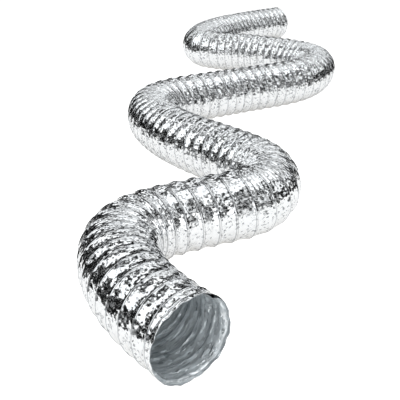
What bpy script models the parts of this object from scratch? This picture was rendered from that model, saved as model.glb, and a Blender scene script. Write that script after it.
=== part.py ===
"""Flexible aluminium foil duct, 4 inch nominal bore, pulled out to 2.5 m and laid on a table in an S line.

The real hose is three pieces: an outer foil, an inner foil and one spring-steel wire helix between them.
Seven lengths of each are modelled, end to end along one centreline. Three short lengths sit in the first,
third and fifth bends. There the wall flexes, so the lengths on either side turn about an upright axis.
Metres, +Z up. The duct rests on z = 0 and the origin is under the middle of its length and width.
"""

import bisect
import math

import bmesh
import bpy
import numpy as np
from mathutils import Vector

# Wall of the duct, from outside to inside. Radii are across the flats of the faceted wall.
OUTER_RADIUS = 0.052        # outer face of the outer foil, so the duct is 104 mm across
FOIL = 0.0002               # one ply of foil and film
CLEARANCE = 0.0003          # free gap between a foil and the wire
WIRE = 0.0011               # spring-steel wire, square to its path
SIDES = 10                  # facets around the duct, one of them flat on the table

# Wire helix.
PITCH = 0.022               # one turn of wire on a stretched length
END_TURN = 0.006            # bare foil past the last turn, at each cut end

# Centreline on the table, from the near mouth to the far end.
ROUTE = [
    (-0.103, -0.927), (-0.132, -0.892), (-0.161, -0.850), (-0.183, -0.803), (-0.197, -0.746),
    (-0.190, -0.695), (-0.163, -0.663), (-0.116, -0.634), (-0.074, -0.612), (-0.030, -0.591),
    (-0.002, -0.561), (0.011, -0.518), (0.004, -0.468), (-0.020, -0.429), (-0.061, -0.380),
    (-0.113, -0.322), (-0.159, -0.253), (-0.188, -0.174), (-0.183, -0.100), (-0.138, -0.047),
    (-0.078, -0.009), (-0.004, 0.036), (0.068, 0.078), (0.138, 0.131), (0.187, 0.212),
    (0.195, 0.297), (0.154, 0.359), (0.097, 0.402), (0.031, 0.438), (-0.037, 0.462),
    (-0.082, 0.495), (-0.095, 0.550), (-0.077, 0.639), (-0.023, 0.737), (0.053, 0.821),
    (0.125, 0.886), (0.167, 0.920),
]
FAIRING = 0.018             # the centreline is faired over this distance, as a springy wall fairs itself
STEP = 0.002                # spacing of the faired centreline's points


def faired_route():
    """Centreline points at an even STEP: a natural cubic spline through ROUTE, then faired."""
    knots = np.array(ROUTE)
    count = len(knots)
    chord = np.r_[0, np.cumsum(np.linalg.norm(np.diff(knots, axis=0), axis=1))]
    gap = np.diff(chord)
    system = np.eye(count)
    right = np.zeros((count, 2))
    for i in range(1, count - 1):
        system[i, i - 1:i + 2] = gap[i - 1], 2 * (gap[i - 1] + gap[i]), gap[i]
        right[i] = 6 * ((knots[i + 1] - knots[i]) / gap[i] - (knots[i] - knots[i - 1]) / gap[i - 1])
    bend = np.linalg.solve(system, right)
    at = np.linspace(0, chord[-1], int(chord[-1] / STEP) + 1)
    i = np.clip(np.searchsorted(chord, at) - 1, 0, count - 2)
    left, past = (chord[i + 1] - at)[:, None], (at - chord[i])[:, None]
    h = gap[i][:, None]
    line = (
        (bend[i] * left**3 + bend[i + 1] * past**3) / (6 * h)
        + (knots[i] / h - bend[i] * h / 6) * left
        + (knots[i + 1] / h - bend[i + 1] * h / 6) * past
    )
    reach = int(3 * FAIRING / STEP)
    weight = np.exp(-0.5 * (np.arange(-reach, reach + 1) * STEP / FAIRING) ** 2)
    weight /= weight.sum()
    before = 2 * line[0] - line[reach:0:-1]
    after = 2 * line[-1] - line[-2:-reach - 2:-1]
    padded = np.vstack([before, line, after])
    return np.column_stack([np.convolve(padded[:, k], weight, "valid") for k in (0, 1)])


LINE = faired_route()
ALONG = np.r_[0, np.cumsum(np.linalg.norm(np.diff(LINE, axis=0), axis=1))]
TANGENT = np.gradient(LINE, axis=0)
TANGENT /= np.linalg.norm(TANGENT, axis=1)[:, None]
HEADING = np.unwrap(np.arctan2(TANGENT[:, 1], TANGENT[:, 0]))
LENGTH = ALONG[-1]

# The seven lengths of the wall: name, where it starts along the centreline, and the joint it belongs to.
LENGTHS = [
    ("mouth_length", 0.0, "mouth_bend"),
    ("mouth_bend", 0.165, "mouth_bend"),
    ("front_length", 0.345, None),
    ("middle_bend", 0.92, "middle_bend"),
    ("back_length", 1.10, "middle_bend"),
    ("far_bend", 1.86, "far_bend"),
    ("far_length", 2.04, "far_bend"),
]
# Each joint's axis is upright, at the centreline's point this far along it: the top of that bend.
JOINTS = {"mouth_bend": 0.255, "middle_bend": 1.015, "far_bend": 1.945}

STATION_TURN = math.radians(12)     # the faceted wall turns at most this much from one ring to the next
STATION_GAP = 0.11                  # and no two rings are further apart than this

FINISHES = {                        # base colour, roughness and metallic value
    "outer_foil": ((0.80, 0.81, 0.82, 1), 0.22, 1.0),
    "wire_helix": ((0.45, 0.45, 0.46, 1), 0.40, 1.0),
    "inner_foil": ((0.55, 0.57, 0.59, 1), 0.35, 1.0),
}


def frame_at(along):
    """Centre on z = OUTER_RADIUS, and the level direction to the left of the duct's heading."""
    x, y = (np.interp(along, ALONG, LINE[:, k]) for k in (0, 1))
    heading = np.interp(along, ALONG, HEADING)
    return Vector((x, y, OUTER_RADIUS)), Vector((-math.sin(heading), math.cos(heading), 0))


def corner(along, radius, k):
    """Corner k of the wall's cross-section: a regular polygon with that radius across the flats."""
    centre, left = frame_at(along)
    angle = (k + 0.5) * math.tau / SIDES - math.pi / 2
    reach = radius / math.cos(math.pi / SIDES)
    return centre + reach * (math.cos(angle) * left + math.sin(angle) * Vector((0, 0, 1)))


def stations(start, end):
    """Where the faceted wall has a ring: closer together in the bends than on the straight runs."""
    found = [start]
    for along in np.arange(start, end, STEP):
        turned = abs(np.interp(along, ALONG, HEADING) - np.interp(found[-1], ALONG, HEADING))
        if turned > STATION_TURN or along - found[-1] > STATION_GAP:
            found.append(float(along))
    return found + [end] if end - found[-1] > 4 * STEP else found[:-1] + [end]


def finish_material(kind):
    """The Principled material of one kind of piece."""
    colour, roughness, metallic = FINISHES[kind]
    material = bpy.data.materials.new(kind)
    material.use_nodes = True
    shader = material.node_tree.nodes["Principled BSDF"]
    shader.inputs["Base Color"].default_value = colour
    shader.inputs["Roughness"].default_value = roughness
    shader.inputs["Metallic"].default_value = metallic
    return material


def place(name, data, kind, hinge):
    """Puts a piece in the duct's collection, turning with its hinge's empty."""
    data.materials.append(MATERIALS[kind])
    piece = bpy.data.objects.new(name, data)
    DUCT.objects.link(piece)
    if hinge:
        piece.parent = hinge
        piece.matrix_parent_inverse = hinge.matrix_world.inverted()
    return piece


def foil_wall(name, rings, outside, kind, hinge):
    """One ply: a many-sided tube wall swept along the centreline, open at both ends."""
    mesh = bpy.data.meshes.new(name)
    wall = bmesh.new()
    skins = [
        [[wall.verts.new(corner(along, radius, k)) for k in range(SIDES)] for along in rings]
        for radius in (outside, outside - FOIL)
    ]
    for outer, skin in zip((True, False), skins):
        for here, there in zip(skin, skin[1:]):
            for k in range(SIDES):
                face = here[k], here[k - 1], there[k - 1], there[k]
                wall.faces.new(face if outer else face[::-1])
    for end in (0, -1):
        for k in range(SIDES):
            outer, inner = skins[0][end], skins[1][end]
            wall.faces.new((outer[k], outer[k - 1], inner[k - 1], inner[k]))
    bmesh.ops.recalc_face_normals(wall, faces=wall.faces)
    wall.to_mesh(mesh)
    wall.free()
    return place(name, mesh, kind, hinge)


def wire_length(name, rings, radius, first, last, hinge):
    """The wire between two cuts: a helix with a corner on every long edge of the faceted wall."""
    advance = PITCH / SIDES
    points = []
    for step in range(math.ceil(first / advance), math.floor(last / advance) + 1):
        along = step * advance
        i = min(max(bisect.bisect(rings, along) - 1, 0), len(rings) - 2)
        share = (along - rings[i]) / (rings[i + 1] - rings[i])
        near, far = corner(rings[i], radius, step % SIDES), corner(rings[i + 1], radius, step % SIDES)
        points.append(near.lerp(far, share))
    curve = bpy.data.curves.new(name, "CURVE")
    curve.dimensions = "3D"
    curve.bevel_depth = WIRE / 2
    curve.bevel_resolution = 0
    curve.use_fill_caps = True
    spline = curve.splines.new("POLY")
    spline.points.add(len(points) - 1)
    for point, place_at in zip(spline.points, points):
        point.co = (*place_at, 1)
    return place(name, curve, "wire_helix", hinge)


def hinge_empty(name, along):
    """The upright axis that the wall flexes about in one bend."""
    hinge = bpy.data.objects.new("axis_" + name, None)
    hinge.empty_display_size = OUTER_RADIUS
    hinge.location = frame_at(along)[0]
    DUCT.objects.link(hinge)
    return hinge


def build_duct():
    """Every length of both foils and of the wire."""
    hinges = {name: hinge_empty(name, along) for name, along in JOINTS.items()}
    bpy.context.view_layer.update()
    wire_radius = OUTER_RADIUS - FOIL - CLEARANCE - WIRE / 2
    inner_outside = wire_radius - WIRE / 2 - CLEARANCE
    ends = [start for _, start, _ in LENGTHS[1:]] + [LENGTH]
    for (name, start, joint), end in zip(LENGTHS, ends):
        first = start + (CLEARANCE / 2 if start > 0 else 0)
        last = end - (CLEARANCE / 2 if end < LENGTH else 0)
        rings = stations(first, last)
        hinge = hinges.get(joint)
        foil_wall("outer_foil_" + name, rings, OUTER_RADIUS, "outer_foil", hinge)
        foil_wall("inner_foil_" + name, rings, inner_outside, "inner_foil", hinge)
        wire_first = first + (END_TURN if start == 0 else WIRE)
        wire_last = last - (END_TURN if end == LENGTH else WIRE)
        wire_length("wire_helix_" + name, rings, wire_radius, wire_first, wire_last, hinge)
    hinges["far_bend"].parent = hinges["middle_bend"]
    hinges["far_bend"].matrix_parent_inverse = hinges["middle_bend"].matrix_world.inverted()


for old in list(bpy.data.objects):
    bpy.data.objects.remove(old)
DUCT = bpy.data.collections.new("foil_duct")
bpy.context.scene.collection.children.link(DUCT)
MATERIALS = {kind: finish_material(kind) for kind in FINISHES}
build_duct()
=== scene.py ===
import math

import bpy
import numpy as np
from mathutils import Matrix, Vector


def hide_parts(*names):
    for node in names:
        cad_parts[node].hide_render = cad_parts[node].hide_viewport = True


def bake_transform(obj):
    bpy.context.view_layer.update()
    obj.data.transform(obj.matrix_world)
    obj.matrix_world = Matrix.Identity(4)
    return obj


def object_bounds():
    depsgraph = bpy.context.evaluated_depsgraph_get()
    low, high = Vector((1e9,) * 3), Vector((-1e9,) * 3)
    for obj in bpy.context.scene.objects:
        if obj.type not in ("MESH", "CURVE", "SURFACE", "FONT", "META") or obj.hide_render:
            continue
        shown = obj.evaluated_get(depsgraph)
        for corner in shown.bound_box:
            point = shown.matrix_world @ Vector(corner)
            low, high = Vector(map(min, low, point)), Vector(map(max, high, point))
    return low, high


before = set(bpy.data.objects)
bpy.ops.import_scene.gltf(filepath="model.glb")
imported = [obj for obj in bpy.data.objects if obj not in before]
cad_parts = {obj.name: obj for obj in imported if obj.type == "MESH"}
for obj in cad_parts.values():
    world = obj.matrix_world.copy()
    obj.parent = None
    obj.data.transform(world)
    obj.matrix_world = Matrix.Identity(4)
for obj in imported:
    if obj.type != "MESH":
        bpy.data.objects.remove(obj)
cad_low, cad_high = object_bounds()


# ---- The hose's lie ----
# A foil duct is a springy tube with no line of its own. It keeps whatever curve it was pushed into,
# so the maker lays it by hand in an S line on the table. These are the points it was laid through.
ROUTE = [
    (-0.103, -0.927), (-0.132, -0.892), (-0.161, -0.850), (-0.183, -0.803), (-0.197, -0.746),
    (-0.190, -0.695), (-0.163, -0.663), (-0.116, -0.634), (-0.074, -0.612), (-0.030, -0.591),
    (-0.002, -0.561), (0.011, -0.518), (0.004, -0.468), (-0.020, -0.429), (-0.061, -0.380),
    (-0.113, -0.322), (-0.159, -0.253), (-0.188, -0.174), (-0.183, -0.100), (-0.138, -0.047),
    (-0.078, -0.009), (-0.004, 0.036), (0.068, 0.078), (0.138, 0.131), (0.187, 0.212),
    (0.195, 0.297), (0.154, 0.359), (0.097, 0.402), (0.031, 0.438), (-0.037, 0.462),
    (-0.082, 0.495), (-0.095, 0.550), (-0.077, 0.639), (-0.023, 0.737), (0.053, 0.821),
    (0.125, 0.886), (0.167, 0.920),
]
FAIRING = 0.018             # the springy wall smooths its own line over about this length
LINE_STEP = 0.002
HOSE_RADIUS = (cad_high.z - cad_low.z) / 2


def faired_route():
    """A natural cubic spline through ROUTE, faired over FAIRING, as the springy wall fairs itself."""
    knots = np.array(ROUTE)
    count = len(knots)
    chord = np.r_[0, np.cumsum(np.linalg.norm(np.diff(knots, axis=0), axis=1))]
    gap = np.diff(chord)
    system = np.eye(count)
    right = np.zeros((count, 2))
    for i in range(1, count - 1):
        system[i, i - 1:i + 2] = gap[i - 1], 2 * (gap[i - 1] + gap[i]), gap[i]
        right[i] = 6 * ((knots[i + 1] - knots[i]) / gap[i] - (knots[i] - knots[i - 1]) / gap[i - 1])
    bend = np.linalg.solve(system, right)
    at = np.linspace(0, chord[-1], int(chord[-1] / LINE_STEP) + 1)
    i = np.clip(np.searchsorted(chord, at) - 1, 0, count - 2)
    left, past = (chord[i + 1] - at)[:, None], (at - chord[i])[:, None]
    h = gap[i][:, None]
    line = (
        (bend[i] * left**3 + bend[i + 1] * past**3) / (6 * h)
        + (knots[i] / h - bend[i] * h / 6) * left
        + (knots[i + 1] / h - bend[i + 1] * h / 6) * past
    )
    reach = int(3 * FAIRING / LINE_STEP)
    weight = np.exp(-0.5 * (np.arange(-reach, reach + 1) * LINE_STEP / FAIRING) ** 2)
    weight /= weight.sum()
    before = 2 * line[0] - line[reach:0:-1]
    after = 2 * line[-1] - line[-2:-reach - 2:-1]
    padded = np.vstack([before, line, after])
    return np.column_stack([np.convolve(padded[:, k], weight, "valid") for k in (0, 1)])


hose_line = faired_route()
along_line = np.r_[0, np.cumsum(np.linalg.norm(np.diff(hose_line, axis=0), axis=1))]
line_tangent = np.gradient(hose_line, axis=0)
line_heading = np.unwrap(np.arctan2(line_tangent[:, 1], line_tangent[:, 0]))
line_curving = np.gradient(line_heading, along_line)
hose_length = along_line[-1]


def point_on_hose(along, around, radius):
    """Places on the hose: along its centreline in metres, around it in turns from its left side.
    Past either end, the hose's line runs straight on."""
    x, y = (np.interp(along, along_line, hose_line[:, k]) for k in (0, 1))
    heading = np.interp(along, along_line, line_heading)
    angle = around * math.tau
    sideways = radius * np.cos(angle)
    overrun = along - np.clip(along, 0, hose_length)
    x = x - np.sin(heading) * sideways + np.cos(heading) * overrun
    y = y + np.cos(heading) * sideways + np.sin(heading) * overrun
    z = HOSE_RADIUS + radius * np.sin(angle)
    return np.stack(np.broadcast_arrays(x, y, z), axis=-1)


# ---- Camera ----
# It stands in front of the near mouth, a little above the hose, and looks along the S line.
# The lens is a short telephoto, so the far end shrinks to less than a third of the near one.
CAMERA_PLACE = (-0.095, -1.516, 0.468)
CAMERA_PITCH = math.radians(23.9)
camera_data = bpy.data.cameras.new("camera")
camera_data.lens = 63
camera_data.sensor_width = 36
camera_data.clip_end = 60
camera = bpy.data.objects.new("camera", camera_data)
camera.location = CAMERA_PLACE
camera.rotation_euler = (math.pi / 2 - CAMERA_PITCH, 0, 0)
bpy.context.scene.collection.objects.link(camera)
bpy.context.scene.camera = camera


# ---- Outer foil ----
# A laminate of aluminium foil and film is wound over the wire and glued down between its turns, so
# each turn of wire stands up as a thin ridge. Pulling and bending the hose leaves the foil creased
# all over, pleated on the inside of a bend and stretched on the outside.
FOIL_THICKNESS = 0.00015
WIRE_PITCH = 0.022
# Pulled out by hand, the turns run ahead or lag: by how many turns, how fast along it, from where.
UNEVEN_PULL = ((0.55, 7.3, 0.4), (0.28, 19.0, 1.9))
CREST_PLACE = 0.0004        # the foil over the wire is this far inside the hose's full radius
CREST = 0.0005              # radius with which it rounds the wire
STEP_DOWN = 0.0013          # how far it drops straight beside the wire,
STEP_REACH = 0.0010         # and over what distance
VALLEY = 0.0012             # how much further it is drawn in half way to the next turn,
PLEAT = 0.0036              # and how much more where a bend pushes the turns together,
VALLEY_LIMITS = (0.0004, 0.0036)        # the least and the most that the two may come to
CREASES = ((0.016, 0.065), (0.0075, 0.070))     # size and slope of the facets that handling leaves
HELD_SMOOTH = (0.0005, 0.0040)          # off the wire, where it starts to crease, and creases freely
PUCKER = 0.00025            # the glue line gathers it in puckers: how deep,
PUCKERS_AROUND = 41         # how many,
PUCKER_STAGGER = 0.37       # how far round each row stands from the last, in puckers,
PUCKER_PLACE = 0.0028       # how far off the wire,
PUCKER_REACH = 0.0016       # and how long
SUB_PLEAT = 0.00032         # fine pleats run round it between the turns in a bend: how deep,
SUB_PLEATS_A_TURN = 4       # how many from one turn to the next,
SUB_PLEAT_CLEAR = 0.0020    # how far off the wire they begin,
SUB_PLEAT_BENDS = (2.5, 8.0)    # and the bending, in radians a metre, where they start and are full
OVAL = ((0.0005, 2, 5), (0.0003, 3, -9))        # how far out of round, in how many lobes, and their twist
BARE_END = 0.006            # foil past the last turn of wire at each cut end
# The cut ends are trimmed by hand, so the edge wanders: how far, how often round it, from where.
RAGGED = ((0.0011, 3, 0.7), (0.0007, 11, 0.0), (0.0005, 23, 2.0))
RAGGED_REACH = 0.014
COLUMNS = 208
# Rows of the mesh follow the wire, and stand closest beside it: their places in half a turn.
HALF_TURN_ROWS = ((
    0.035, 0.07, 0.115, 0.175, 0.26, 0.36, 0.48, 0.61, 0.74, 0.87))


def wire_turns(along):
    """Turns of wire wound up to there. The hand-pulled pitch is never quite even."""
    wander = sum(turns * np.sin(along * rate + start) for turns, rate, start in UNEVEN_PULL)
    return along / WIRE_PITCH + wander


wound_places = np.linspace(-0.1, hose_length + 0.1, 4000)
wound_turns = wire_turns(wound_places)


def along_at_turn(turns):
    """How far along the hose the wire is after so many turns."""
    return np.interp(turns, wound_turns, wound_places)


def bend_squeeze(along, around):
    """Local length over the length on the centreline: under 1 inside a bend and over 1 outside."""
    curving = np.interp(along, along_line, line_curving)
    return np.clip(1 - curving * HOSE_RADIUS * np.cos(around * math.tau), 0.2, 2)


def facets(along, around, size, seed, stretch=1.0):
    """Height of a sheet crushed into flat facets of about this size, all of slope one.
    With stretch they are that much longer around the hose than along it."""
    girth, margin = math.tau * HOSE_RADIUS, 0.2
    rows, columns = int((hose_length + 2 * margin) / size), round(girth / size / stretch)
    chance = np.random.default_rng(seed).random((rows, columns, 4))
    u, v = (along + margin) / size, (around % 1) * columns
    row, column = np.floor(u).astype(int), np.floor(v).astype(int)
    lowest = np.full(np.broadcast(u, v).shape, 9.0)
    # One point in each cell is the tip of a four-sided pit, and the deepest pit at a place wins.
    for row_step in (-1, 0, 1):
        for column_step in (-1, 0, 1):
            cell_row, cell_column = row + row_step, column + column_step
            across, up, tilt, weight = np.moveaxis(chance[cell_row % rows, cell_column % columns], -1, 0)
            du, dv = u - cell_row - across, v - cell_column - up
            cos, sin = np.cos(tilt * math.tau), np.sin(tilt * math.tau)
            pit = np.abs(cos * du + sin * dv) + (0.4 + 0.6 * weight) * np.abs(cos * dv - sin * du)
            lowest = np.minimum(lowest, pit + 0.25 * weight)
    return size * (lowest - 0.5)


def patches(along, around, seed):
    """From 0 to 1, where the foil has been handled more: crossing waves some centimetres long."""
    a, b, c = np.random.default_rng(seed).uniform(0, math.tau, 3)
    crossing = np.sin(along * 61 + math.tau * 2 * around + a) * np.sin(along * 97 - math.tau * 3 * around + b)
    return 0.5 + 0.35 * crossing + 0.15 * np.sin(along * 23 + math.tau * around + c)


def ease(value, low, high):
    """From 0 at low to 1 at high, smoothly."""
    t = np.clip((value - low) / (high - low), 0, 1)
    return t * t * (3 - 2 * t)


def from_cut(along):
    """Distance to the nearer cut end."""
    return np.minimum(along, hose_length - along)


def over_wire(along):
    """From 0 on the bare foil at a cut end to 1 where the wire holds it."""
    return ease(from_cut(along), 0.5 * BARE_END, 1.3 * BARE_END)


def from_wire(along, around):
    """Distance over the foil to the nearest turn of wire, and the turns wound up to there."""
    turn = wire_turns(along) - around
    return np.abs(turn - np.round(turn)) * WIRE_PITCH * bend_squeeze(along, around), turn


def outer_foil_radius(along, around):
    """Radius of the outer foil's outer face."""
    off, turn = from_wire(along, around)
    nearest = np.round(turn)
    valley = np.clip(VALLEY + PLEAT * (1 - bend_squeeze(along, around)), *VALLEY_LIMITS)
    rounded = np.sqrt(off**2 + CREST**2) - CREST
    drawn_in = STEP_DOWN * (1 - np.exp(-rounded / STEP_REACH))
    drawn_in = drawn_in + valley * np.sin(math.pi * (turn - nearest)) ** 2
    free = 0.12 + 0.88 * ease(off, *HELD_SMOOTH)
    creased = sum(slope * facets(along, around, size, 11 + k) for k, (size, slope) in enumerate(CREASES))
    creased = creased * (0.6 + 0.8 * patches(along, around, 3))
    puckers = PUCKER * np.sin(math.tau * (PUCKERS_AROUND * around + PUCKER_STAGGER * nearest))
    puckers = puckers * np.exp(-((off - PUCKER_PLACE) / PUCKER_REACH) ** 2)
    bent = ease(np.abs(np.interp(along, along_line, line_curving)), *SUB_PLEAT_BENDS)
    pleats = SUB_PLEAT * bent * np.cos(math.tau * SUB_PLEATS_A_TURN * turn)
    pleats = pleats * (1 - np.exp(-((off / SUB_PLEAT_CLEAR) ** 2))) * (0.4 + 1.2 * patches(along, around, 5))
    oval = sum(depth * np.cos(lobes * math.tau * around + twist * along) for depth, lobes, twist in OVAL)
    wired = over_wire(along)
    return HOSE_RADIUS - CREST_PLACE - drawn_in * wired + free * creased + (puckers + pleats) * wired + oval


def cut_edge(along, around):
    """Where a point of the foil really is along the hose, once the cut edges wander."""
    ragged = sum(depth * np.sin(math.tau * times * around + start) for depth, times, start in RAGGED)
    near = np.clip(1 - along / RAGGED_REACH, 0, 1)
    far = np.clip(1 - (hose_length - along) / RAGGED_REACH, 0, 1)
    return along + ragged * (near - far)


def foil_tube(name, start, end, half_turn_rows, columns, outer_radius):
    """A length of foil as a closed thin shell, with its length and girth as UVs in metres.
    Its rows wind round with the wire, and each starts and stops where the length does."""
    half = np.array(half_turn_rows) / 2
    in_turn = np.r_[0, half, 0.5, 1 - half[::-1]]
    per_turn = len(in_turn)
    first, last = math.floor(wire_turns(start)) - 2, math.ceil(wire_turns(end)) + 2
    turns = (np.arange(first, last)[:, None] + in_turn).ravel()
    around = np.arange(columns + 1) / columns - 0.25
    along = along_at_turn(turns[:, None] + around)

    # Each column keeps the rows inside the length, and one more at either end that is moved onto it.
    inside = (along > start + 0.0001) & (along < end - 0.0001)
    begins, stops = inside.argmax(axis=0) - 1, len(turns) - inside[::-1].argmax(axis=0)
    row = np.arange(len(turns))[:, None]
    used = (row >= begins) & (row <= stops)
    along = np.where(row <= begins, start, np.where(row >= stops, end, along))
    around = np.broadcast_to(around, along.shape)

    # Once round, a row carries on as the row one turn of wire further.
    kept = used[:, :-1]
    number = np.full(along.shape, -1)
    number[:, :-1][kept] = np.arange(kept.sum())
    number[:-per_turn, -1] = number[per_turn:, 0]
    count = number.max() + 1
    kept_along, kept_around = along[:, :-1][kept], around[:, :-1][kept]
    radius = outer_radius(kept_along, kept_around)
    edge_along = cut_edge(kept_along, kept_around)
    skins = [point_on_hose(edge_along, kept_around, radius - depth) for depth in (0, FOIL_THICKNESS)]
    for skin, lift in zip(skins, (0.0001, 0.0001 + FOIL_THICKNESS)):
        skin[:, 2] = np.maximum(skin[:, 2], lift)

    # Quads where all four corners are kept, and triangles where three are, at the stepped ends.
    corners = [(slice(None, -1), slice(None, -1)), (slice(1, None), slice(None, -1)),
               (slice(1, None), slice(1, None)), (slice(None, -1), slice(1, None))]
    numbers, lengths, girths, there = (
        np.stack([grid[c].ravel() for c in corners], axis=-1)
        for grid in (number, along, around * math.tau * HOSE_RADIUS, used)
    )
    quads, thirds = there.all(axis=1), there.sum(axis=1) == 3
    faces, uvs = [numbers[quads][:, ::-1]], [np.stack([lengths, girths], -1)[quads][:, ::-1]]
    left = np.array([[c for c in range(4) if c != gone] for gone in there[thirds].argmin(axis=1)])

    def three_of(grid):
        return np.take_along_axis(grid[thirds], left, axis=1)[:, ::-1]

    triangles, triangle_uvs = three_of(numbers), np.stack([three_of(lengths), three_of(girths)], -1)

    # The inner skin is the outer one turned over, and a rim joins the two at each end.
    rims = []
    for edge_row, flip in ((begins, False), (stops, True)):
        edge = number[edge_row, np.arange(columns + 1)]
        rim = np.stack([edge[:-1], edge[1:], edge[1:] + count, edge[:-1] + count], axis=-1)
        length = np.full(columns, end if flip else start)
        girth = np.arange(columns) / columns * math.tau * HOSE_RADIUS
        rims.append((rim if flip else rim[:, ::-1], np.stack([np.stack([length, girth], -1)] * 4, axis=1)))
    faces += [faces[0][:, ::-1] + count] + [rim for rim, _ in rims]
    uvs += [uvs[0][:, ::-1]] + [uv for _, uv in rims]
    corner_lists = faces + [triangles, triangles[:, ::-1] + count]
    uv_lists = uvs + [triangle_uvs, triangle_uvs[:, ::-1]]
    loops = np.concatenate([block.ravel() for block in corner_lists])
    sizes = np.concatenate([np.full(len(block), block.shape[1]) for block in corner_lists])

    mesh = bpy.data.meshes.new(name)
    mesh.vertices.add(2 * count)
    mesh.vertices.foreach_set("co", np.concatenate(skins).ravel())
    mesh.loops.add(len(loops))
    mesh.loops.foreach_set("vertex_index", loops)
    mesh.polygons.add(len(sizes))
    mesh.polygons.foreach_set("loop_start", np.r_[0, np.cumsum(sizes)[:-1]])
    mesh.update(calc_edges=True)
    layer = mesh.uv_layers.new(name="length_and_girth")
    layer.data.foreach_set("uv", np.concatenate([block.reshape(-1, 2) for block in uv_lists]).ravel())
    off_wire = np.tile(from_wire(kept_along, kept_around)[0], 2)
    mesh.attributes.new("off_wire", "FLOAT", "POINT").data.foreach_set("value", off_wire)
    mesh.shade_smooth()
    tube = bpy.data.objects.new(name, mesh)
    bpy.context.scene.collection.objects.link(tube)
    return tube


def feed(tree, socket, value):
    """Gives a node's socket a plain value, or links another node's output to it."""
    if isinstance(value, bpy.types.NodeSocket):
        tree.links.new(value, socket)
    else:
        socket.default_value = value


def maths(tree, operation, *values):
    """The result of a Math node."""
    node = tree.nodes.new("ShaderNodeMath")
    node.operation = operation
    for socket, value in zip(node.inputs, values):
        feed(tree, socket, value)
    return node.outputs["Value"]


def spread(tree, value, low, high, to_low=0.0, to_high=1.0):
    """The value's place between low and high, as one between to_low and to_high."""
    node = tree.nodes.new("ShaderNodeMapRange")
    settings = {"Value": value, "From Min": low, "From Max": high, "To Min": to_low, "To Max": to_high}
    for socket, setting in settings.items():
        feed(tree, node.inputs[socket], setting)
    return node.outputs["Result"]


def mixed(tree, share, one, other):
    """A colour that goes from one to the other as share goes from 0 to 1."""
    node = tree.nodes.new("ShaderNodeMix")
    node.data_type = "RGBA"
    for socket, setting in (("Factor", share), ("A", one), ("B", other)):
        feed(tree, node.inputs[socket], setting)
    return node.outputs["Result"]


FACET_LAYERS = ((1.0, 0.3), (0.5, 0.8), (0.27, 0.7))    # facets in facets: relative size, and tilt
FEW_STEEP = 5.0             # most facets lie nearly flat, and the higher this is, the more of them
BUMP_FREE = (0.0006, 0.0022)        # off the wire, where the fine facets start and are full
SMUDGE_WAVES = 45           # patches of handled foil in a metre
# Painted shade: dark flecks of colour stand for small folds too deep to see light in.
SHADE_FLECK_SIZE = 0.0026         # the small folds too deep to see light in: how large,
SHADE_FLECKS_WITH_SMUDGE = 0.35   # how much they keep to the handled foil,
SHADE_FLECK_CHANCE = (0.98, 1.18)         # and how few they are
WIRE_SHADE = (0.0022, 0.0010)       # off the wire, where the corner beside it turns dark with painted shade, and where the wire's own ridge is clear of that
WIRE_CLEAR = (0.0003, 0.0007)       # and where the wire's own ridge is clear of that
WIRE_SHADE_DEPTH = 0.45
SHADE_FLECK_DEPTH = 0.72
SMUDGE_ROUGHNESS = 0.05


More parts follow.
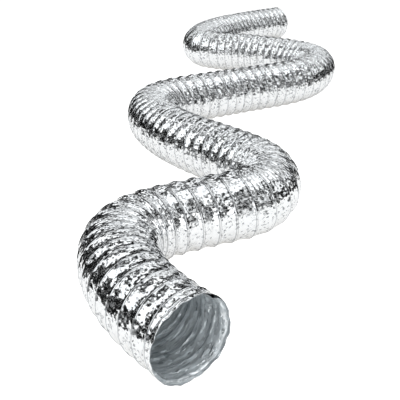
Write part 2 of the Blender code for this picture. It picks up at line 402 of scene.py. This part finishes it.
def crumple_group():
    """Node group: flat tilted facets of crushed foil as a height, with masks for handled foil, for
    painted shade in folds too deep to see light in, and for painted shade on the foil that lies close
    beside the wire."""
    group = bpy.data.node_groups.new("foil_crumple", "ShaderNodeTree")
    for socket in ("Facet Size", "Drawn Out"):
        group.interface.new_socket(socket, in_out="INPUT", socket_type="NodeSocketFloat")
    for socket in ("Height", "Smudge", "Painted Fold Shade", "Painted Wire Shade"):
        group.interface.new_socket(socket, in_out="OUTPUT", socket_type="NodeSocketFloat")
    nodes, links = group.nodes, group.links
    given = nodes.new("NodeGroupInput")
    result = nodes.new("NodeGroupOutput")

    place = nodes.new("ShaderNodeUVMap")
    place.uv_map = "length_and_girth"
    sides = nodes.new("ShaderNodeSeparateXYZ")
    links.new(place.outputs["UV"], sides.inputs["Vector"])
    sheet = nodes.new("ShaderNodeCombineXYZ")
    links.new(sides.outputs["X"], sheet.inputs["X"])
    links.new(maths(group, "DIVIDE", sides.outputs["Y"], given.outputs["Drawn Out"]), sheet.inputs["Y"])

    def cells(size):
        cell = nodes.new("ShaderNodeTexVoronoi")
        cell.voronoi_dimensions = "2D"
        links.new(sheet.outputs["Vector"], cell.inputs["Vector"])
        links.new(maths(group, "DIVIDE", 1.0, size), cell.inputs["Scale"])
        return cell

    def vectors(operation, *values):
        node = nodes.new("ShaderNodeVectorMath")
        node.operation = operation
        for socket, value in zip(node.inputs, values):
            feed(group, socket, value)
        return node.outputs["Value" if operation == "DOT_PRODUCT" else "Vector"]

    smudge = nodes.new("ShaderNodeTexNoise")
    smudge.inputs["Scale"].default_value = SMUDGE_WAVES
    smudge.inputs["Detail"].default_value = 5
    smudge.inputs["Roughness"].default_value = 0.65
    links.new(place.outputs["UV"], smudge.inputs["Vector"])
    links.new(smudge.outputs["Fac"], result.inputs["Smudge"])

    height = 0.0
    for share, steep in FACET_LAYERS:
        facet = cells(maths(group, "MULTIPLY", given.outputs["Facet Size"], share))
        arm = vectors("SUBTRACT", sheet.outputs["Vector"], facet.outputs["Position"])
        tilt = vectors("MULTIPLY_ADD", facet.outputs["Color"], (2 * steep, 2 * steep, 0), (-steep, -steep, 0))
        chance = nodes.new("ShaderNodeSeparateXYZ")
        links.new(facet.outputs["Color"], chance.inputs["Vector"])
        steepness = maths(group, "POWER", chance.outputs["Z"], FEW_STEEP)
        height = maths(group, "MULTIPLY_ADD", vectors("DOT_PRODUCT", arm, tilt), steepness, height)
    off_wire = nodes.new("ShaderNodeAttribute")
    off_wire.attribute_name = "off_wire"
    free = spread(group, off_wire.outputs["Fac"], *BUMP_FREE, to_low=0.15)
    links.new(maths(group, "MULTIPLY", height, free), result.inputs["Height"])

    # Painted shade: dark flecks for folds too deep to see light in, more of them on the handled foil.
    shade_fleck = nodes.new("ShaderNodeSeparateXYZ")
    links.new(cells(SHADE_FLECK_SIZE).outputs["Color"], shade_fleck.inputs["Vector"])
    likely = maths(group, "MULTIPLY_ADD", smudge.outputs["Fac"], SHADE_FLECKS_WITH_SMUDGE, shade_fleck.outputs["X"])
    links.new(spread(group, likely, *SHADE_FLECK_CHANCE), result.inputs["Painted Fold Shade"])

    # Painted shade: a dark band of colour beside each turn of wire, with the wire's own ridge kept clear.
    painted_wire_shade = spread(group, off_wire.outputs["Fac"], *WIRE_SHADE)
    clear = spread(group, off_wire.outputs["Fac"], *WIRE_CLEAR)
    links.new(maths(group, "MULTIPLY", painted_wire_shade, clear), result.inputs["Painted Wire Shade"])
    return group


foil_crumple = crumple_group()


def foil_material(name, clean, dull, painted_shade, metal, gloss, facet, drawn_out, slope):
    """Foil that is bright on its facets, duller where it has been handled, and painted dark as shade in its
    folds and beside the wire.
    """
    material = bpy.data.materials.new(name)
    material.use_nodes = True
    tree = material.node_tree
    shader = tree.nodes["Principled BSDF"]
    shader.inputs["Metallic"].default_value = metal
    crumple = tree.nodes.new("ShaderNodeGroup")
    crumple.node_tree = foil_crumple
    crumple.inputs["Facet Size"].default_value = facet
    crumple.inputs["Drawn Out"].default_value = drawn_out
    bump = tree.nodes.new("ShaderNodeBump")
    bump.inputs["Strength"].default_value = 1.0
    bump.inputs["Distance"].default_value = slope
    tree.links.new(crumple.outputs["Height"], bump.inputs["Height"])
    tree.links.new(bump.outputs["Normal"], shader.inputs["Normal"])
    colour = mixed(tree, crumple.outputs["Smudge"], clean, dull)
    # Painted shade: the fold flecks and the band beside the wire darken the colour toward the shade colour.
    for mask, depth in (("Painted Wire Shade", WIRE_SHADE_DEPTH), ("Painted Fold Shade", SHADE_FLECK_DEPTH)):
        colour = mixed(tree, maths(tree, "MULTIPLY", crumple.outputs[mask], depth), colour, painted_shade)
    tree.links.new(colour, shader.inputs["Base Color"])
    rough = spread(tree, crumple.outputs["Smudge"], 0.3, 0.75, gloss, gloss + SMUDGE_ROUGHNESS)
    tree.links.new(rough, shader.inputs["Roughness"])
    return material


# The last of its colours is the painted shade for its folds and beside the wire.
bright_foil = foil_material(
    "bright_foil", clean=(0.96, 0.96, 0.96, 1), dull=(0.88, 0.90, 0.92, 1), painted_shade=(0.07, 0.08, 0.095, 1),
    metal=1.0, gloss=0.02, facet=0.0090, drawn_out=1.0, slope=0.40,
)

# One hose, drawn in three lengths that meet edge to edge, because a length may flex in one bend only.
# Each: name, the CAD lengths it stands for, the bodies it joins, and how far along its bend's top is.
HOSE_LENGTHS = [
    ("near", ("mouth_length", "mouth_bend", "front_length"), ("mouth", "front"), 0.255),
    ("middle", ("front_length", "middle_bend", "back_length"), ("front", "back"), 1.015),
    ("far", ("back_length", "far_bend", "far_length"), ("back", "far"), 1.945),
]
CUTS = (0.0, 0.68, 1.36, hose_length)       # where they start and end


def flex_with(piece, top):
    """Bakes the piece's placing into its mesh; the point it finds at the bend's top is not used."""
    x, y, z = (float(v) for v in point_on_hose(top, 0.0, 0.0))
    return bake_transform(piece)


for (part, cad_lengths, bodies, top), start, end in zip(HOSE_LENGTHS, CUTS, CUTS[1:]):
    foil = foil_tube("outer_foil_" + part, start, end, HALF_TURN_ROWS, COLUMNS, outer_foil_radius)
    foil.data.materials.append(bright_foil)
    path = point_on_hose(np.linspace(start, end, 60), 0.0, 0.0)
    side = point_on_hose(start, 0.0, 0.5 * HOSE_RADIUS)
    flex_with(foil, top)
    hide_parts(*["outer_foil_" + length for length in cad_lengths])


# ---- Wire helix ----
# One length of drawn spring-steel wire, coiled on a mandrel and trapped between the two foils.
# It ends one bare end short of each cut.
WIRE_RADIUS = 0.00055
WIRE_CORNERS = 24           # corners of its line in one turn
WIRE_SIDES = 6
UNDER_FOIL = 0.0013         # the wire's centre is this far inside the hose's full radius
WIRE_GRAIN = 900            # draw marks in a metre
WIRE_DARK, WIRE_LIGHT = (0.42, 0.42, 0.43, 1), (0.55, 0.54, 0.53, 1)
WIRE_ROUGHNESS = (0.28, 0.46)


def wire_metal():
    """Drawn steel, grey, with fine draw marks that vary its tone and its sheen."""
    material = bpy.data.materials.new("drawn_wire")
    material.use_nodes = True
    tree = material.node_tree
    shader = tree.nodes["Principled BSDF"]
    shader.inputs["Metallic"].default_value = 1.0
    grain = tree.nodes.new("ShaderNodeTexNoise")
    grain.inputs["Scale"].default_value = WIRE_GRAIN
    rough = spread(tree, grain.outputs["Fac"], 0.0, 1.0, *WIRE_ROUGHNESS)
    tree.links.new(rough, shader.inputs["Roughness"])
    tree.links.new(mixed(tree, grain.outputs["Fac"], WIRE_DARK, WIRE_LIGHT), shader.inputs["Base Color"])
    return material


drawn_wire = wire_metal()


def wire_coil(name, start, end):
    """The stretch of helix between two places along the hose, as a closed tube."""
    first, last = wire_turns(start), wire_turns(end)
    turns = np.linspace(first, last, int((last - first) * WIRE_CORNERS))
    along = np.interp(turns, wire_turns(along_line), along_line)
    centre = point_on_hose(along, turns, HOSE_RADIUS - UNDER_FOIL)
    centre[:, 2] = np.maximum(centre[:, 2], UNDER_FOIL)
    tangent = np.gradient(centre, axis=0)
    tangent /= np.linalg.norm(tangent, axis=1)[:, None]
    outward = centre - point_on_hose(along, turns, 0.0)
    outward -= (outward * tangent).sum(axis=1)[:, None] * tangent
    outward /= np.linalg.norm(outward, axis=1)[:, None]
    across = np.cross(tangent, outward)
    angle = np.arange(WIRE_SIDES) * math.tau / WIRE_SIDES
    ring = np.cos(angle)[None, :, None] * outward[:, None] + np.sin(angle)[None, :, None] * across[:, None]
    points = (centre[:, None] + WIRE_RADIUS * ring).reshape(-1, 3)
    grid = np.arange(len(points)).reshape(-1, WIRE_SIDES)
    near, far = grid[:-1], grid[1:]
    sides = np.stack([near, np.roll(near, -1, 1), np.roll(far, -1, 1), far], axis=-1).reshape(-1, 4)
    caps = [grid[0][::-1].tolist(), grid[-1].tolist()]
    mesh = bpy.data.meshes.new(name)
    mesh.from_pydata(points.tolist(), [], sides.tolist() + caps)
    mesh.shade_smooth()
    mesh.materials.append(drawn_wire)
    coil = bpy.data.objects.new(name, mesh)
    bpy.context.scene.collection.objects.link(coil)
    return coil


for (part, cad_lengths, bodies, top), start, end in zip(HOSE_LENGTHS, CUTS, CUTS[1:]):
    coil = wire_coil("wire_helix_" + part, max(start, BARE_END), min(end, hose_length - BARE_END))
    flex_with(coil, top)
    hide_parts(*["wire_helix_" + length for length in cad_lengths])


# ---- Inner foil ----
# The same laminate inside the wire. Between turns it lies against the outer foil, and it passes
# under each turn. Winding and pulling leave it in long shallow wrinkles that run around the bore,
# handling leaves each end dented, and the lining hangs loose at one place on the mouth's rim.
FOIL_GAP = 0.0002           # between the two foils where they lie together
UNDER_WIRE = 0.0024         # how far it drops to pass under the wire,
UNDER_WIRE_REACH = 0.0024   # and over what distance
WRINKLE_SIZE = 0.007        # wrinkles: how wide,
WRINKLE_LENGTH = 4.0        # how many times longer,
WRINKLE_SLOPE = 0.24
WRINKLE_LIFT = 0.0030       # how far they bulge as a whole
DENT_SIZE = 0.0065          # dents: how wide,
DENT_SLOPE = 0.32
DENT_LIFT = 0.0020          # how far they bulge as a whole,
DENT_REACH = 0.075          # and how far in from a cut end they reach
LOOSE_DROP = 0.0045         # the loose lining hangs this far away from the outer foil,
LOOSE_PLACE = 0.35          # this far round, in turns from the left,
LOOSE_WIDTH = 0.030         # over this many turns,
LOOSE_LENGTH = 0.012        # and this far in
LINING_ROWS = HALF_TURN_ROWS[1::2]


def inner_foil_radius(along, around):
    """Radius of the inner foil's outer face, which stays inside the outer foil and the wire."""
    off, _ = from_wire(along, around)
    wired = over_wire(along)
    under = UNDER_WIRE * np.exp(-((off / UNDER_WIRE_REACH) ** 2)) * wired
    wrinkle = WRINKLE_SLOPE * (facets(along, around, WRINKLE_SIZE, 29, WRINKLE_LENGTH) + WRINKLE_LIFT)
    wrinkle = wrinkle * (0.5 + 0.8 * patches(along, around, 8))
    handled = ease(DENT_REACH - from_cut(along), 0, 0.05)
    handled = handled * ease(-np.cos((around - 0.1) * math.tau), -0.2, 0.8)
    wrinkle = wrinkle + DENT_SLOPE * handled * (facets(along, around, DENT_SIZE, 37) + DENT_LIFT)
    loose = ((around % 1 - LOOSE_PLACE) / LOOSE_WIDTH) ** 2 + (along / LOOSE_LENGTH) ** 2
    inward = np.maximum(wrinkle, 0) * wired + LOOSE_DROP * np.exp(-loose)
    return outer_foil_radius(along, around) - FOIL_THICKNESS - FOIL_GAP - under - inward


# The last of its colours is the painted shade for its folds and beside the wire.
dull_foil = foil_material(
    "dull_foil", clean=(0.93, 0.97, 0.99, 1), dull=(0.78, 0.83, 0.86, 1), painted_shade=(0.30, 0.33, 0.35, 1),
    metal=0.60, gloss=0.13, facet=0.0040, drawn_out=4.5, slope=1.5,
)

for (part, cad_lengths, bodies, top), start, end in zip(HOSE_LENGTHS, CUTS, CUTS[1:]):
    lining = foil_tube("inner_foil_" + part, start, end, LINING_ROWS, COLUMNS // 2, inner_foil_radius)
    lining.data.materials.append(dull_foil)
    flex_with(lining, top)
    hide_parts(*["inner_foil_" + length for length in cad_lengths])


# ---- Table and studio ----
# A white board on the table, in a dark studio hung all round with soft white panels at half height
# and overhead, and with white card low in front. The foil mirrors them and the dark between them.
BOARD_REACH = 0.22          # how far the board runs past the hose on every side
BOARD_CELL = 0.02
BOARD_DROP = 0.001          # how far its face is under the hose
BOARD_COLOUR = (0.50, 0.50, 0.49, 1)
BOARD_GLOW = 0.71           # how bright it is in the foil,
BOARD_SEEN = 0.37           # and how much brighter when seen directly
CONTACT_SHADE = 0.040       # how far out from under the hose the shadow painted on it reaches in the foil, and what the board is dimmed to right under it
SHADE_TONE = (0.52, 0.50, 0.47, 1)      # and what the board is dimmed to right under it
WHITE = (1, 1, 1, 1)

left, near = cad_low.x - BOARD_REACH, cad_low.y - BOARD_REACH
board_columns = int((cad_high.x - cad_low.x + 2 * BOARD_REACH) / BOARD_CELL)
board_rows = int((cad_high.y - cad_low.y + 2 * BOARD_REACH) / BOARD_CELL)
board_x, board_y = np.meshgrid(
    left + BOARD_CELL * np.arange(board_columns + 1), near + BOARD_CELL * np.arange(board_rows + 1)
)
board_points = np.stack([board_x.ravel(), board_y.ravel(), np.full(board_x.size, -BOARD_DROP)], axis=-1)
board_grid = np.arange(board_x.size).reshape(board_x.shape)
board_quads = np.stack(
    [board_grid[:-1, :-1], board_grid[:-1, 1:], board_grid[1:, 1:], board_grid[1:, :-1]], axis=-1
).reshape(-1, 4)
board_mesh = bpy.data.meshes.new("board")
board_mesh.from_pydata(board_points.tolist(), [], board_quads.tolist())
to_line = np.linalg.norm(board_points[:, None, :2] - hose_line[None, ::4], axis=2).min(axis=1)
shade = np.exp(-((to_line / CONTACT_SHADE) ** 2))
board_mesh.attributes.new("shade", "FLOAT", "POINT").data.foreach_set("value", shade.astype(np.float32))

white_board = bpy.data.materials.new("white_board")
white_board.use_nodes = True
board_tree = white_board.node_tree
board_shader = board_tree.nodes["Principled BSDF"]
board_shader.inputs["Base Color"].default_value = BOARD_COLOUR
board_shader.inputs["Roughness"].default_value = 0.9
board_shader.inputs["Specular IOR Level"].default_value = 0.1
# Painted shadow: under the hose the board's glow is dimmed toward SHADE_TONE, in reflections only, not where
# the camera sees it directly.
board_shade = board_tree.nodes.new("ShaderNodeAttribute")
board_shade.attribute_name = "shade"
board_seen = board_tree.nodes.new("ShaderNodeLightPath").outputs["Is Camera Ray"]
board_glow = maths(board_tree, "MULTIPLY_ADD", board_seen, BOARD_SEEN, BOARD_GLOW)
board_tree.links.new(board_glow, board_shader.inputs["Emission Strength"])
board_mirrored = maths(board_tree, "SUBTRACT", 1.0, board_seen)
board_dimmed = maths(board_tree, "MULTIPLY", board_shade.outputs["Fac"], board_mirrored)
board_tone = mixed(board_tree, board_dimmed, WHITE, SHADE_TONE)
board_tree.links.new(board_tone, board_shader.inputs["Emission Color"])
board_mesh.materials.append(white_board)
board = bpy.data.objects.new("board", board_mesh)
bpy.context.scene.collection.objects.link(board)

# A small soft lamp stands low before the mouth and shines into the bore.
BORE_LAMP_PLACE = (0.10, -1.22, 0.20)
bore_lamp_data = bpy.data.lights.new("bore_lamp", "AREA")
bore_lamp_data.size = 0.35
bore_lamp_data.energy = 0.55
bore_lamp = bpy.data.objects.new("bore_lamp", bore_lamp_data)
bore_lamp.location = BORE_LAMP_PLACE
into_bore = Vector(point_on_hose(0.05, 0.0, 0.0).tolist()) - Vector(BORE_LAMP_PLACE)
bore_lamp.rotation_euler = into_bore.to_track_quat("-Z", "Y").to_euler()
bpy.context.scene.collection.objects.link(bore_lamp)

# How bright the studio is toward each of eight sides, in degrees right of straight back, by height
# in degrees above the table.
STUDIO = {
    0: ((-6, 0.005), (23, 0.01), (28, 1.25), (39, 1.25), (44, 0.02), (57, 0.02), (62, 1.25), (90, 1.25)),
    45: ((-6, 0.01), (13, 0.01), (18, 1.20), (28, 1.20), (32, 0.02), (37, 0.02), (43, 1.50), (90, 1.30)),
    90: ((-6, 0.01), (12, 0.01), (17, 1.10), (25, 1.10), (29, 0.01), (43, 0.01), (50, 1.50), (90, 1.30)),
    135: ((-30, 0.95), (1, 0.85), (9, 0.08), (14, 0.01), (30, 0.01), (35, 0.90), (40, 0.90), (45, 0.01),
          (64, 0.01), (73, 1.25)),
    180: ((-10, 1.05), (17, 1.05), (23, 0.01), (62, 0.01), (72, 1.25)),
    225: ((-10, 0.80), (2, 0.70), (7, 0.02), (18, 0.02), (24, 1.45), (51, 1.45), (58, 0.02), (68, 0.02),
          (76, 1.25)),
    270: ((-6, 0.01), (21, 0.01), (27, 1.45), (54, 1.45), (60, 0.02), (68, 0.02), (76, 1.25)),
    315: ((-6, 0.005), (23, 0.01), (29, 1.35), (44, 1.35), (51, 0.02), (64, 0.02), (72, 1.25)),
}
STUDIO_TINT = (0.97, 0.99, 1.0, 1)
SEEN_WHITE = 1.1            # brightness of the plain white that the camera sees behind the hose


def studio_world():
    """The studio all round, as brightness by direction. Seen directly, it is plain white."""
    world = bpy.data.worlds.new("studio")
    world.use_nodes = True
    tree = world.node_tree
    nodes, links = tree.nodes, tree.links
    background, output = nodes["Background"], nodes["World Output"]
    toward = nodes.new("ShaderNodeTexCoord")
    parts = nodes.new("ShaderNodeSeparateXYZ")
    links.new(toward.outputs["Generated"], parts.inputs["Vector"])
    height = maths(tree, "MULTIPLY_ADD", maths(tree, "ARCSINE", parts.outputs["Z"]), 1 / math.pi, 0.5)
    side = maths(tree, "ARCTAN2", parts.outputs["X"], parts.outputs["Y"])
    total = 0.0
    for degrees, stops in STUDIO.items():
        off = maths(tree, "WRAP", maths(tree, "SUBTRACT", side, math.radians(degrees)), math.pi, -math.pi)
        near_side = maths(tree, "MULTIPLY_ADD", maths(tree, "ABSOLUTE", off), -len(STUDIO) / math.tau, 1.0)
        share = maths(tree, "MAXIMUM", near_side, 0.0)
        ramp = nodes.new("ShaderNodeValToRGB")
        ramp.color_ramp.interpolation = "EASE"
        links.new(height, ramp.inputs["Fac"])
        brightest = max(bright for _, bright in stops)
        elements = ramp.color_ramp.elements
        for k, (up, bright) in enumerate(stops):
            element = elements[k] if k < 2 else elements.new(1.0)
            element.position = up / 180 + 0.5
            element.color = (bright / brightest,) * 3 + (1,)
        bright_here = maths(tree, "MULTIPLY", ramp.outputs["Color"], brightest)
        total = maths(tree, "MULTIPLY_ADD", bright_here, share, total)
    links.new(total, background.inputs["Strength"])
    background.inputs["Color"].default_value = STUDIO_TINT
    plain = nodes.new("ShaderNodeBackground")
    plain.inputs["Strength"].default_value = SEEN_WHITE
    plain.inputs["Color"].default_value = WHITE
    direct = nodes.new("ShaderNodeLightPath")
    either = nodes.new("ShaderNodeMixShader")
    links.new(direct.outputs["Is Camera Ray"], either.inputs[0])
    links.new(background.outputs["Background"], either.inputs[1])
    links.new(plain.outputs["Background"], either.inputs[2])
    links.new(either.outputs["Shader"], output.inputs["Surface"])
    return world


bpy.context.scene.world = studio_world()
bpy.context.scene.view_settings.view_transform = "Standard"
